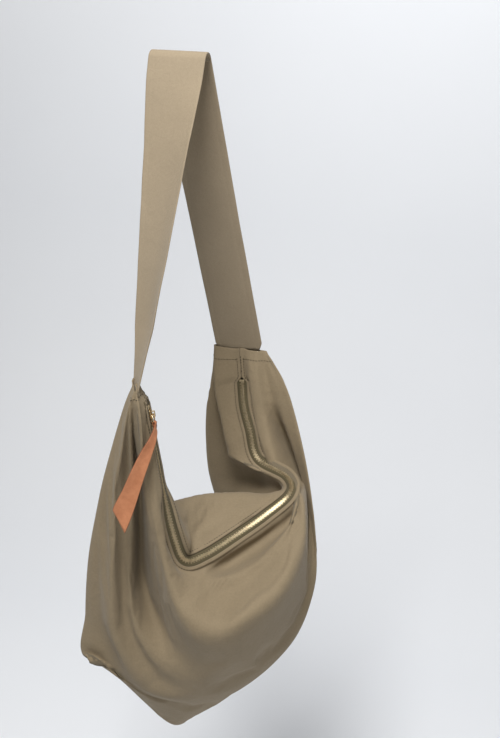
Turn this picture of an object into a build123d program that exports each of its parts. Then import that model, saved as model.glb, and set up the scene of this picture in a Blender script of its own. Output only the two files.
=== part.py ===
"""Slouchy hobo bag that hangs by its wide shoulder strap and closes with one long zipper.

The origin is on the axis of the rail that carries the strap, at the strap's mid-width. +X runs
along the rail, -Y points to the near end of the bag and +Z is up.
"""
import os
from math import asin, atan2, cos, degrees, hypot, radians, sin

from build123d import *

os.makedirs("parts", exist_ok=True)

# ---- Driving dimensions, mm ----
RAIL_RADIUS = 11.0
STRAP_WIDTH = 75.0
STRAP_THICKNESS = 2.0
STRAP_TAIL_WIDTH = 56.0  # the strap is gathered where it enters the bag
STRAP_TAIL = 6.0  # length sewn inside each end of the bag
STRAP_GATHER = 5.0  # length above each end where the strap starts to narrow
PANEL_THICKNESS = 1.2
LINING_THICKNESS = 0.5
LINING_INSET = 2.6  # outer face of the lining, below the outer face of its panel
PANEL_LIFT = 2.0  # height of a panel's outer face above the tape's mid-plane
LIP = 9.0  # half the width of the slot between the two folded panel edges
SHOULDER_REACH = 0.85  # how far a section's upper and lower control points reach out, as a share
BELLY_REACH = 1.6  # of the section's half width
INSET_REACH = 1.3  # how much less they reach out for each mm that a layer lies further in
SEAM_HALF_GAP = 0.4  # half the space between the two panels along a seam
CHAIN_SLOT = 0.8  # half the space between the two rows of teeth
CHAIN_HALF_WIDTH = 3.5
CHAIN_HALF_HEIGHT = 1.3
TAPE_HALF_WIDTH = 11.0
TAPE_HALF_HEIGHT = 0.3

# ---- Mouth and outer seam ----
# The zipper starts with a straight stretch, turns along the top of the bag and climbs to the far
# end. Out is the direction from the tape's mid-plane to the outside.
ZIP_START = Vector(17, -149, -404)
STRAIGHT_LENGTH = 138.0
TRAVEL = Vector(0.181, 0.022, -0.983).normalized()
NEAR_OUT_HINT = Vector(1, 0.2, 0.2)
NEAR_OUT = (NEAR_OUT_HINT - TRAVEL * TRAVEL.dot(NEAR_OUT_HINT)).normalized()
NEAR_SIDE = TRAVEL.cross(NEAR_OUT)
NEAR_END_RISE = 27.0  # from the start of the zipper up to the strap seam
STRAIGHT_END = ZIP_START + TRAVEL * STRAIGHT_LENGTH
BEND_POINTS = [
    Vector(57, -136, -596),
    Vector(84, -108, -622),
    Vector(122, -56, -616),
    Vector(152, -6, -599),
    Vector(160, 40, -579),
    Vector(134, 78, -557),
    Vector(96, 103, -520),
    Vector(66, 117, -466),
    Vector(57, 124, -412),
]
FAR_HEADING = Vector(-0.1, 0.12, 1)
STEPS_PER_POINT = 3  # loft sections to each point of the bend
END_DEPTH = 9.0  # the bag is a flat tube where the strap enters it
END_WIDTH = 45.0
bend = Spline(
    STRAIGHT_END, *BEND_POINTS, tangents=(TRAVEL, FAR_HEADING), tangent_scalars=(1, 1)
)

def near_station(along, depth, drop, front_width, rear_width, lip=LIP):
    """Station on the straight stretch: outer seam at a depth and a drop from the zipper."""
    mouth = ZIP_START + TRAVEL * along
    seam = mouth - NEAR_OUT * depth + TRAVEL * drop
    return mouth, seam, TRAVEL, front_width, rear_width, lip


NEAR_STATIONS = [
    near_station(-NEAR_END_RISE, END_DEPTH, 0, END_WIDTH, END_WIDTH, SEAM_HALF_GAP),
    near_station(0, 30, 0, 34, 38),
    near_station(36, 46, 6, 31, 38),
    near_station(70, 68, 12, 34, 44),
    near_station(STRAIGHT_LENGTH, 110, 40, 44, 58),
]
# Outer seam's point, front width and rear width beside each point of the bend.
FAR_SEAMS = [
    (Vector(-76, -155, -722), 54, 62),
    (Vector(-82, -138, -842), 70, 72),
    (Vector(-14, -76, -958), 88, 82),
    (Vector(74, -2, -988), 94, 86),
    (Vector(140, 68, -936), 92, 80),
    (Vector(174, 142, -800), 72, 66),
    (Vector(142, 172, -650), 62, 58),
    (Vector(90, 158, -500), 48, 48),
]
far_seam = Spline(NEAR_STATIONS[-1][1], *[seam for seam, _, _ in FAR_SEAMS])


def far_stations():
    """Stations along the bend, a few to each hand-placed pair of zipper and seam points."""
    stations = []
    before = (0.0, 0.0, *NEAR_STATIONS[-1][3:5])
    for mouth, (seam, front_width, rear_width) in zip(BEND_POINTS, FAR_SEAMS):
        after = (bend.param_at_point(mouth), far_seam.param_at_point(seam), front_width, rear_width)
        for step in range(1, STEPS_PER_POINT + 1):
            share = step / STEPS_PER_POINT
            at, seam_at, front, rear = (x + (y - x) * share for x, y in zip(before, after))
            place = bend.position_at(at)
            seam_place = far_seam.position_at(seam_at)
            stations.append((place, seam_place, bend.tangent_at(at), front, rear, LIP))
        before = after
    return stations


FAR_STATIONS = far_stations()
END_MOUTH = BEND_POINTS[-1]
FAR_END = (
    END_MOUTH,
    END_MOUTH + Vector(0, END_DEPTH, 0),
    bend.tangent_at(1),
    END_WIDTH,
    END_WIDTH,
    SEAM_HALF_GAP,
)
STATIONS = NEAR_STATIONS + FAR_STATIONS + [FAR_END]


def section_plane(mouth, seam, heading):
    """Plane across the bag: origin on the zipper, x towards the front panel, y out of the mouth."""
    out = (mouth - seam).normalized()
    side = heading.cross(out).normalized()
    return Plane(origin=mouth, x_dir=side, z_dir=side.cross(out))


def half_profile(depth, width, lip, inset, sign):
    """Control points of one side of the bag, from the folded lip round to the outer seam."""
    shoulder = width * SHOULDER_REACH - inset * INSET_REACH
    belly = width * BELLY_REACH - inset * INSET_REACH
    return [
        (sign * lip, PANEL_LIFT - inset),
        (sign * shoulder, PANEL_LIFT - inset),
        (sign * belly, inset - depth),
        (sign * SEAM_HALF_GAP, inset - depth),
    ]


def fabric_layer(inset, thickness, sign):
    """One layer of one side of the bag, from the mouth to the outer seam, as a closed solid."""
    with BuildPart() as layer:
        for mouth, seam, heading, front_width, rear_width, lip in STATIONS:
            width = front_width if sign > 0 else rear_width
            depth = (mouth - seam).length
            outer = half_profile(depth, width, lip, inset, sign)
            inner = half_profile(depth, width, lip, inset + thickness, sign)
            with BuildSketch(section_plane(mouth, seam, heading)):
                with BuildLine():
                    Bezier(*outer)
                    Bezier(*inner)
                    Line(outer[0], inner[0])
                    Line(outer[-1], inner[-1])
                make_face()
        loft(ruled=True)
    return layer.part


# ---- Outer panels and lining ----
SIDES = (("front", 1), ("rear", -1))
for side_name, side_sign in SIDES:
    panel = fabric_layer(0, PANEL_THICKNESS, side_sign)
    panel.label = f"panel_{side_name}"
    export_step(panel, f"parts/panel_{side_name}.step")

    lining = fabric_layer(LINING_INSET, LINING_THICKNESS, side_sign)
    lining.label = f"lining_{side_name}"
    export_step(lining, f"parts/lining_{side_name}.step")

# ---- Zipper tapes and chain ----
# The tape runs the whole length of the mouth. The teeth stop short of it at the far end.
CHAIN_START = 5.0  # from the start of the tape to the first tooth


def zip_planes(first_along):
    """Planes across the zipper, from a place on the straight stretch to the far end."""
    planes = [
        Plane(origin=ZIP_START + TRAVEL * along, x_dir=NEAR_SIDE, z_dir=TRAVEL)
        for along in (first_along, STRAIGHT_LENGTH)
    ]
    for mouth, seam, heading, _, _, _ in FAR_STATIONS:
        side = heading.cross(mouth - seam).normalized()
        planes.append(Plane(origin=mouth, x_dir=side, z_dir=heading))
    return planes


def zipper_strip(planes, inner, outer, half_height, sign):
    """Flat strip beside the zipper's centre line."""
    with BuildPart() as strip:
        for plane in planes:
            with BuildSketch(plane):
                with Locations((sign * (inner + outer) / 2, 0)):
                    Rectangle(outer - inner, 2 * half_height)
        loft(ruled=True)
    return strip.part


tape_planes = zip_planes(0)
chain_planes = zip_planes(CHAIN_START)[:-STEPS_PER_POINT]
for side_name, side_sign in SIDES:
    tape = zipper_strip(
        tape_planes, CHAIN_HALF_WIDTH, TAPE_HALF_WIDTH, TAPE_HALF_HEIGHT, side_sign
    )
    tape.label = f"zipper_tape_{side_name}"
    export_step(tape, f"parts/zipper_tape_{side_name}.step")

    teeth = zipper_strip(
        chain_planes, CHAIN_SLOT, CHAIN_HALF_WIDTH, CHAIN_HALF_HEIGHT, side_sign
    )
    teeth.label = f"zipper_teeth_{side_name}"
    export_step(teeth, f"parts/zipper_teeth_{side_name}.step")

# ---- Stops ----
STOP_LENGTH = 3.0
STOP_HEIGHT = 3.1
STOP_ROUNDING = 0.6
BOTTOM_STOP_WIDTH = 6.8  # a little less than the space between the tapes
TOP_STOP_GAP = 0.5  # between a top stop and the first tooth
for side_name, side_sign in SIDES:
    stop_middle = CHAIN_START - TOP_STOP_GAP - STOP_LENGTH / 2
    stop_plane = Plane(
        origin=ZIP_START + TRAVEL * stop_middle, x_dir=NEAR_SIDE, z_dir=TRAVEL
    )
    with BuildPart() as top_stop:
        with BuildSketch(stop_plane):
            with Locations((side_sign * (CHAIN_SLOT + CHAIN_HALF_WIDTH) / 2, 0)):
                RectangleRounded(CHAIN_HALF_WIDTH - CHAIN_SLOT, STOP_HEIGHT, STOP_ROUNDING)
        extrude(amount=STOP_LENGTH / 2, both=True)
    top_stop.part.label = f"top_stop_{side_name}"
    export_step(top_stop.part, f"parts/top_stop_{side_name}.step")

with BuildPart() as bottom_stop:
    with BuildSketch(chain_planes[-1]):
        RectangleRounded(BOTTOM_STOP_WIDTH, STOP_HEIGHT, STOP_ROUNDING)
    extrude(amount=STOP_LENGTH)
bottom_stop.part.label = "bottom_stop"
export_step(bottom_stop.part, "parts/bottom_stop.step")

# ---- Shoulder strap ----
# The near leg turns about a quarter turn on its way down, the far leg hangs flat.
TAIL_DEPTH = (END_DEPTH - PANEL_LIFT) / 2
NEAR_TAIL_CENTRE = ZIP_START - TRAVEL * NEAR_END_RISE - NEAR_OUT * TAIL_DEPTH
FAR_TAIL_CENTRE = END_MOUTH + Vector(0, TAIL_DEPTH, 0)
# Share of the near leg, from the rail down, and how far the strap has turned there, in degrees.
NEAR_TURN = [(0.06, 0), (0.2, 20), (0.4, 32), (0.6, 43), (0.75, 53), (0.88, 65)]
strap_ends = ((-STRAP_GATHER, STRAP_WIDTH), (STRAP_TAIL, STRAP_TAIL_WIDTH))
MID_RADIUS = RAIL_RADIUS + STRAP_THICKNESS / 2


def lean(centre):
    """Angle from the vertical of the line from the rail's rounded top to a strap end."""
    reach = hypot(centre.Y, centre.Z)
    return atan2(abs(centre.Y), -centre.Z) - asin(MID_RADIUS / reach)


near_lean = lean(NEAR_TAIL_CENTRE)
far_lean = lean(FAR_TAIL_CENTRE)
near_tangent_point = Vector(0, -MID_RADIUS * cos(near_lean), MID_RADIUS * sin(near_lean))
far_tangent_point = Vector(0, MID_RADIUS * cos(far_lean), MID_RADIUS * sin(far_lean))
near_heading = Vector(0, -sin(near_lean), -cos(near_lean))
far_heading = Vector(0, sin(far_lean), -cos(far_lean))
arc_start = degrees(far_lean)
arc_size = 180 - degrees(near_lean) - arc_start

with BuildPart() as shoulder_strap:
    with BuildSketch(Plane.YZ):
        with BuildLine():
            inner_arc = CenterArc((0, 0), RAIL_RADIUS, arc_start, arc_size)
            outer_arc = CenterArc((0, 0), RAIL_RADIUS + STRAP_THICKNESS, arc_start, arc_size)
            Line(inner_arc @ 0, outer_arc @ 0)
            Line(inner_arc @ 1, outer_arc @ 1)
        make_face()
    extrude(amount=STRAP_WIDTH / 2, both=True)

    with BuildSketch(Plane(origin=near_tangent_point, x_dir=(1, 0, 0), z_dir=near_heading)):
        Rectangle(STRAP_WIDTH, STRAP_THICKNESS)
    for share, turn in NEAR_TURN:
        centre = near_tangent_point * (1 - share) + NEAR_TAIL_CENTRE * share
        heading = near_heading * (1 - share) + TRAVEL * share
        across = Vector(cos(radians(turn)), -sin(radians(turn)), 0)
        across = across - heading * (across.dot(heading) / heading.length**2)
        with BuildSketch(Plane(origin=centre, x_dir=across, z_dir=heading)):
            Rectangle(STRAP_WIDTH, STRAP_THICKNESS)
    for distance, width in strap_ends:
        centre = NEAR_TAIL_CENTRE + TRAVEL * distance
        with BuildSketch(Plane(origin=centre, x_dir=NEAR_SIDE, z_dir=TRAVEL)):
            Rectangle(width, STRAP_THICKNESS)
    loft(ruled=True)

    with BuildSketch(Plane(origin=far_tangent_point, x_dir=(1, 0, 0), z_dir=far_heading)):
        Rectangle(STRAP_WIDTH, STRAP_THICKNESS)
    for distance, width in strap_ends:
        centre = FAR_TAIL_CENTRE - Vector(0, 0, distance)
        with BuildSketch(Plane(origin=centre, x_dir=(1, 0, 0), z_dir=(0, 0, -1))):
            Rectangle(width, STRAP_THICKNESS)
    loft(ruled=True)
shoulder_strap.part.label = "shoulder_strap"
export_step(shoulder_strap.part, "parts/shoulder_strap.step")

# ---- Slider ----
SLIDER_AT = 13.0  # from the start of the tape to the slider's middle
SLIDER_LENGTH = 13.0
SLIDER_WIDTH = 11.0
PLATE_ROUNDING = 2.4
PLATE_THICKNESS = 1.1
PLATE_GAP = 0.4  # between a plate and the teeth
FLANGE_LENGTH = 8.0
FLANGE_THICKNESS = 1.1
FLANGE_SLOT = 0.8  # half the slot that the tape runs through
POST_WIDTH = 0.9
POST_LENGTH = 4.0
POST_INSET = 1.0  # from the front end of the plates
BRIDGE_LENGTH = 9.0
BRIDGE_WIDTH = 2.4
BRIDGE_HEIGHT = 5.0
BRIDGE_BAR = 1.1
BRIDGE_ROUNDING = 1.4
slider_centre = ZIP_START + TRAVEL * SLIDER_AT
slider_plane = Plane(origin=slider_centre, x_dir=TRAVEL, z_dir=NEAR_OUT)
plate_inner = CHAIN_HALF_HEIGHT + PLATE_GAP
plate_outer = plate_inner + PLATE_THICKNESS

with BuildPart() as slider_body:
    for level in (plate_inner, -plate_outer):
        with BuildSketch(slider_plane.offset(level)):
            RectangleRounded(SLIDER_LENGTH, SLIDER_WIDTH, PLATE_ROUNDING)
        extrude(amount=PLATE_THICKNESS)
    for level in (FLANGE_SLOT, -plate_inner):
        with BuildSketch(slider_plane.offset(level)):
            with GridLocations(0, SLIDER_WIDTH - FLANGE_THICKNESS, 1, 2):
                Rectangle(FLANGE_LENGTH, FLANGE_THICKNESS)
        extrude(amount=plate_inner - FLANGE_SLOT)
    with BuildSketch(slider_plane.offset(-plate_inner)):
        with Locations((POST_LENGTH / 2 - SLIDER_LENGTH / 2 + POST_INSET, 0)):
            Rectangle(POST_LENGTH, POST_WIDTH)
    extrude(amount=2 * plate_inner)
slider_body.part.label = "slider_body"
export_step(slider_body.part, "parts/slider_body.step")

bridge_plane = Plane(
    origin=slider_centre + NEAR_OUT * plate_outer, x_dir=TRAVEL, z_dir=NEAR_SIDE
)
slot_height = BRIDGE_HEIGHT - BRIDGE_BAR
with BuildPart() as slider_bridge:
    with BuildSketch(bridge_plane):
        with Locations((0, BRIDGE_HEIGHT / 2)):
            RectangleRounded(BRIDGE_LENGTH, BRIDGE_HEIGHT, BRIDGE_ROUNDING)
        with Locations((0, slot_height / 2)):
            Rectangle(BRIDGE_LENGTH - 2 * BRIDGE_BAR, slot_height, mode=Mode.SUBTRACT)
    extrude(amount=BRIDGE_WIDTH / 2, both=True)
slider_bridge.part.label = "slider_bridge"
export_step(slider_bridge.part, "parts/slider_bridge.step")

# ---- Pull ring ----
RING_RADIUS = 5.5
RING_WIRE = 0.8
ring_top = slider_centre + NEAR_OUT * (plate_outer + slot_height / 2)
ring_centre = ring_top + TRAVEL * RING_RADIUS
ring_bottom = ring_centre + TRAVEL * RING_RADIUS
with BuildPart() as pull_ring:
    with BuildSketch(Plane(origin=ring_top, x_dir=TRAVEL, z_dir=NEAR_SIDE)):
        Circle(RING_WIRE)
    revolve(axis=Axis(ring_centre, NEAR_OUT), revolution_arc=360)
pull_ring.part.label = "pull_ring"
export_step(pull_ring.part, "parts/pull_ring.step")

# ---- Leather pull ----
# A strip looped round the ring's lower wire. It drapes over the front panel's rounded edge, grows
# wider on its way down and ends in a slanted cut.
EYE_BORE = 1.7
EYE_RADIUS = 3.2
EYE_LENGTH = 5.0
STRIP_THICKNESS = 2.0
TONGUE = 5.0  # from the eye's middle to where the strip starts to turn
STRIP = [  # middle, width, direction that the face looks in
    (Vector(31, -156, -431.5), 8, NEAR_OUT),
    (Vector(32, -167, -440), 11, NEAR_OUT + NEAR_SIDE * 0.8),
    (Vector(28, -180, -456), 15, NEAR_OUT * 0.5 + NEAR_SIDE),
    (Vector(20, -190, -480), 20, NEAR_OUT * 0.2 + NEAR_SIDE),
    (Vector(10, -199, -512), 26, NEAR_SIDE),
]
STRIP_END = Vector(0, -207, -542)
STRIP_END_EDGE = Vector(0.56, -0.16, -0.81)
STRIP_END_WIDTH = 31.0
root = ring_bottom + TRAVEL * TONGUE
with BuildPart() as leather_pull:
    with BuildSketch(Plane(origin=ring_bottom, x_dir=TRAVEL, z_dir=NEAR_SIDE)):
        Circle(EYE_RADIUS)
        with Locations((TONGUE / 2, 0)):
            Rectangle(TONGUE, STRIP_THICKNESS)
        Circle(EYE_BORE, mode=Mode.SUBTRACT)
    extrude(amount=EYE_LENGTH / 2, both=True)
    with BuildSketch(Plane(origin=root, x_dir=NEAR_SIDE, z_dir=TRAVEL)):
        Rectangle(EYE_LENGTH, STRIP_THICKNESS)
    centres = [root] + [middle for middle, _, _ in STRIP] + [STRIP_END]
    for index, (middle, width, face) in enumerate(STRIP, start=1):
        run = (centres[index + 1] - centres[index - 1]).normalized()
        with BuildSketch(Plane(origin=middle, x_dir=face.cross(run), z_dir=run)):
            Rectangle(width, STRIP_THICKNESS)
    end_normal = STRIP_END_EDGE.cross(NEAR_SIDE)
    with BuildSketch(Plane(origin=STRIP_END, x_dir=STRIP_END_EDGE, z_dir=end_normal)):
        Rectangle(STRIP_END_WIDTH, STRIP_THICKNESS)
    loft(ruled=True)
leather_pull.part.label = "leather_pull"
export_step(leather_pull.part, "parts/leather_pull.step")
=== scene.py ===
"""Looks of a slouchy hobo bag that hangs by its shoulder strap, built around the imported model.

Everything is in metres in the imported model's frame: +X runs along the rail that carries the
strap, -Y points to the near end of the bag and +Z is up.
"""
import math

import bpy
import numpy as np
from mathutils import Matrix, Vector


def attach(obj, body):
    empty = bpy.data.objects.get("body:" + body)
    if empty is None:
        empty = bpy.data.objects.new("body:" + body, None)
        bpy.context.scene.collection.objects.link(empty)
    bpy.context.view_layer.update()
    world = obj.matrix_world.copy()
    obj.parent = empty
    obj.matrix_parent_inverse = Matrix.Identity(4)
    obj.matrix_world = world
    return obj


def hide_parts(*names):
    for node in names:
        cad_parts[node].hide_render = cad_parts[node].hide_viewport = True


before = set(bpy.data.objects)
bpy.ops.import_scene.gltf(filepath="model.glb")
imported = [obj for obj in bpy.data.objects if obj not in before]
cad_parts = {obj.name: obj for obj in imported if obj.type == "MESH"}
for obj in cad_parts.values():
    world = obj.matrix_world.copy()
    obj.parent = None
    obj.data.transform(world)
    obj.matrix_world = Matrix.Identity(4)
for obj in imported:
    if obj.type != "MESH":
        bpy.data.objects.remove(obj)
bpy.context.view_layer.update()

MM = 0.001


# ---- Small geometry helpers ----
def unit(v):
    """Rows of vectors, each scaled to length one."""
    return v / np.linalg.norm(v, axis=-1, keepdims=True)


def spline(knots, values, at):
    """Smooth curve through values at the given knots, evaluated at many places."""
    values = np.asarray(values, float)
    knots = np.asarray(knots, float)
    ones = (-1,) + (1,) * (values.ndim - 1)
    steps = np.diff(knots).reshape(ones)
    slopes = np.diff(values, axis=0) / steps
    tangents = np.empty_like(values)
    tangents[0], tangents[-1] = slopes[0], slopes[-1]
    tangents[1:-1] = (slopes[:-1] * steps[1:] + slopes[1:] * steps[:-1]) / (steps[1:] + steps[:-1])
    k = np.clip(np.searchsorted(knots, at, side="right") - 1, 0, len(knots) - 2)
    step = (knots[k + 1] - knots[k]).reshape(ones)
    x = ((at - knots[k]).reshape(ones)) / step
    start = (2 * x**3 - 3 * x**2 + 1) * values[k] + (x**3 - 2 * x**2 + x) * step * tangents[k]
    end = (3 * x**2 - 2 * x**3) * values[k + 1] + (x**3 - x**2) * step * tangents[k + 1]
    return start + end


def run_length(points):
    """Distance along a line of points, from its first point."""
    return np.r_[0, np.cumsum(np.linalg.norm(np.diff(points, axis=0), axis=1))]


def smooth_noise(at, wavelength, seed):
    """Smooth random curve between -1 and 1 with about the given wavelength."""
    count = int(np.max(at) / wavelength * 2) + 4
    heights = np.random.RandomState(seed).uniform(-1, 1, count)
    return spline(np.arange(count) * wavelength / 2, heights, np.asarray(at, float))


def add_object(name, vertices, faces, materials, smooth=True):
    """Mesh object from vertices and faces."""
    mesh = bpy.data.meshes.new(name)
    mesh.from_pydata(np.asarray(vertices).reshape(-1, 3).tolist(), [], faces)
    for material in materials:
        mesh.materials.append(material)
    mesh.polygons.foreach_set("use_smooth", [smooth] * len(mesh.polygons))
    mesh.update()
    obj = bpy.data.objects.new(name, mesh)
    bpy.context.scene.collection.objects.link(obj)
    return obj


def grid_faces(rows, columns, wrap=False):
    """Quads of a grid of vertices; wrap joins the last column to the first."""
    faces = []
    for i in range(rows - 1):
        for j in range(columns if wrap else columns - 1):
            right = (j + 1) % columns
            a, b = i * columns + j, i * columns + right
            faces.append((a, b, b + columns, a + columns))
    return faces


def tube_faces(first, rings, size):
    """Quads between the rings of a closed tube, from its first vertex on, and its two caps."""
    faces = [
        tuple(first + corner for corner in face) for face in grid_faces(rings, size, wrap=True)
    ]
    faces.append(tuple(first + k for k in range(size))[::-1])
    faces.append(tuple(first + (rings - 1) * size + k for k in range(size)))
    return faces


def metric_uv(obj, grid):
    """UV map in metres along the two directions of a grid of vertices."""
    rows, columns = grid.shape[:2]
    down = np.zeros((rows, columns))
    down[1:] = np.cumsum(np.linalg.norm(np.diff(grid, axis=0), axis=2), axis=0)
    down -= down[rows // 2]
    across = np.zeros((rows, columns))
    across[:, 1:] = np.cumsum(np.linalg.norm(np.diff(grid, axis=1), axis=2), axis=1)
    across -= across[:, columns // 2][:, None]
    uv = np.stack([across, down], axis=2).reshape(-1, 2)
    layer = obj.data.uv_layers.new(name="cloth")
    index = np.zeros(len(obj.data.loops), dtype=np.int64)
    obj.data.loops.foreach_get("vertex_index", index)
    layer.data.foreach_set("uv", uv[index].reshape(-1))


def sweep(name, centres, sides, outs, profiles, materials, smooth=True):
    """Closed tube whose section at each centre is a loop of (side, out) offsets."""
    profiles = np.asarray(profiles, float)
    if profiles.ndim == 2:
        profiles = np.repeat(profiles[None], len(centres), axis=0)
    points = (
        centres[:, None]
        + sides[:, None] * profiles[..., :1]
        + outs[:, None] * profiles[..., 1:]
    )
    obj = add_object(name, points, tube_faces(0, *points.shape[:2]), materials, smooth)
    metric_uv(obj, points)
    return obj


def modifier(obj, kind, **values):
    """Add a modifier with its values set."""
    item = obj.modifiers.new(kind.lower(), kind)
    for key, value in values.items():
        setattr(item, key, value)
    return item


# ---- Materials ----
def new_material(name, **values):
    """Principled material with its sockets set, its node tree and its shader."""
    material = bpy.data.materials.new(name)
    material.use_nodes = True
    shader = material.node_tree.nodes["Principled BSDF"]
    for key, value in values.items():
        shader.inputs[key.replace("_", " ")].default_value = value
    return material, material.node_tree, shader


def node(tree, kind, **values):
    """Shader node with its properties and input values set."""
    item = tree.nodes.new(kind)
    for key, value in values.items():
        if hasattr(item, key):
            setattr(item, key, value)
        else:
            item.inputs[key].default_value = value
    return item


def link(tree, *chain):
    """Join (node, socket) pairs: each output to the input that follows it."""
    for (source, output), (target, socket) in zip(chain[::2], chain[1::2]):
        tree.links.new(source.outputs[output], target.inputs[socket])


def weave_height(tree, pitch, twill=False):
    """Height of a plain or twill weave over the metric UV map."""
    uv = node(tree, "ShaderNodeUVMap", uv_map="cloth")
    waves = []
    for direction in ("X", "Y"):
        wave = node(tree, "ShaderNodeTexWave", wave_type="BANDS", bands_direction=direction)
        wave.inputs["Scale"].default_value = math.pi / 10 / pitch
        wave.inputs["Distortion"].default_value = 0.6
        wave.inputs["Detail"].default_value = 1.0
        link(tree, (uv, "UV"), (wave, "Vector"))
        waves.append(wave)
    if twill:
        diagonal = node(tree, "ShaderNodeTexWave", wave_type="BANDS", bands_direction="DIAGONAL")
        diagonal.inputs["Scale"].default_value = math.pi / 10 / pitch / 1.6
        link(tree, (uv, "UV"), (diagonal, "Vector"))
        waves[1] = diagonal
    both = node(tree, "ShaderNodeMath", operation="MULTIPLY")
    link(tree, (waves[0], "Fac"), (both, 0), (waves[1], "Fac"), (both, 1))
    return both


def cloth_material(name, light, dark, pitch, crinkle=1.0, twill=False, roughness=0.82):
    """Woven cloth: weave and crinkle in the bump, slow colour changes, sheen."""
    material, tree, shader = new_material(
        name, Roughness=roughness, Sheen_Weight=0.1, Sheen_Roughness=0.45
    )
    shader.inputs["Specular IOR Level"].default_value = 0.25
    place = node(tree, "ShaderNodeTexCoord")
    patches = node(tree, "ShaderNodeTexNoise", Scale=9.0, Detail=3.0, Roughness=0.6)
    fibre = node(tree, "ShaderNodeTexNoise", Scale=420.0, Detail=2.0, Roughness=0.7)
    folds = node(tree, "ShaderNodeTexNoise", Scale=38.0, Detail=5.0, Roughness=0.62, Distortion=1.1)
    for noise in (patches, fibre, folds):
        link(tree, (place, "Object"), (noise, "Vector"))
    weave = weave_height(tree, pitch, twill)
    blend = node(tree, "ShaderNodeMath", operation="ADD")
    half = node(tree, "ShaderNodeMath", operation="MULTIPLY")
    half.inputs[1].default_value = 0.5
    link(tree, (patches, "Fac"), (blend, 0), (fibre, "Fac"), (blend, 1))
    link(tree, (blend, "Value"), (half, 0))
    ramp = node(tree, "ShaderNodeValToRGB")
    ramp.color_ramp.elements[0].position, ramp.color_ramp.elements[1].position = 0.3, 0.7
    ramp.color_ramp.elements[0].color = (*dark, 1)
    ramp.color_ramp.elements[1].color = (*light, 1)
    link(tree, (half, "Value"), (ramp, "Fac"))
    threads = node(tree, "ShaderNodeMix", data_type="RGBA", blend_type="MULTIPLY")
    threads.inputs["Factor"].default_value = 0.16
    link(tree, (ramp, "Color"), (threads, "A"), (weave, "Value"), (threads, "B"))
    link(tree, (threads, "Result"), (shader, "Base Color"))
    fine = node(tree, "ShaderNodeBump", Strength=0.35, Distance=0.00025)
    coarse = node(tree, "ShaderNodeBump", Strength=0.5 * crinkle, Distance=0.0028)
    link(tree, (folds, "Fac"), (coarse, "Height"), (coarse, "Normal"), (fine, "Normal"))
    link(tree, (weave, "Value"), (fine, "Height"), (fine, "Normal"), (shader, "Normal"))
    return material


def metal_material(name, colour, wear, roughness):
    """Plated metal with small scratches and slightly uneven colour."""
    material, tree, shader = new_material(name, Metallic=1.0)
    place = node(tree, "ShaderNodeTexCoord")
    blotch = node(tree, "ShaderNodeTexNoise", Scale=260.0, Detail=4.0, Roughness=0.65)
    scratch = node(tree, "ShaderNodeTexNoise", Scale=1500.0, Detail=2.0, Roughness=0.5)
    for noise in (blotch, scratch):
        link(tree, (place, "Object"), (noise, "Vector"))
    ramp = node(tree, "ShaderNodeValToRGB")
    ramp.color_ramp.elements[0].color = (*wear, 1)
    ramp.color_ramp.elements[1].color = (*colour, 1)
    ramp.color_ramp.elements[0].position, ramp.color_ramp.elements[1].position = 0.32, 0.6
    gloss = node(tree, "ShaderNodeMapRange")
    gloss.inputs["To Min"].default_value = roughness * 0.7
    gloss.inputs["To Max"].default_value = roughness * 1.3
    bump = node(tree, "ShaderNodeBump", Strength=0.12, Distance=0.0001)
    link(tree, (blotch, "Fac"), (ramp, "Fac"), (ramp, "Color"), (shader, "Base Color"))
    link(tree, (blotch, "Fac"), (gloss, "Value"), (gloss, "Result"), (shader, "Roughness"))
    link(tree, (scratch, "Fac"), (bump, "Height"), (bump, "Normal"), (shader, "Normal"))
    return material


def leather_material(name, light, dark, roughness):
    """Vegetable-tanned leather: pebbled grain, pores and mottled colour."""
    material, tree, shader = new_material(name, Roughness=roughness)
    shader.inputs["Specular IOR Level"].default_value = 0.4
    place = node(tree, "ShaderNodeTexCoord")
    mottle = node(tree, "ShaderNodeTexNoise", Scale=55.0, Detail=6.0, Roughness=0.7)
    cells = node(tree, "ShaderNodeTexVoronoi", Scale=900.0)
    pores = node(tree, "ShaderNodeTexNoise", Scale=2200.0, Detail=2.0)
    for item in (mottle, cells, pores):
        link(tree, (place, "Object"), (item, "Vector"))
    ramp = node(tree, "ShaderNodeValToRGB")
    ramp.color_ramp.elements[0].color = (*dark, 1)
    ramp.color_ramp.elements[1].color = (*light, 1)
    ramp.color_ramp.elements[0].position, ramp.color_ramp.elements[1].position = 0.3, 0.68
    grain = node(tree, "ShaderNodeBump", Strength=0.45, Distance=0.00035)
    pitted = node(tree, "ShaderNodeBump", Strength=0.25, Distance=0.0001)
    link(tree, (mottle, "Fac"), (ramp, "Fac"), (ramp, "Color"), (shader, "Base Color"))
    link(tree, (cells, "Distance"), (grain, "Height"), (grain, "Normal"), (pitted, "Normal"))
    link(tree, (pores, "Fac"), (pitted, "Height"), (pitted, "Normal"), (shader, "Normal"))
    return material


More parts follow.
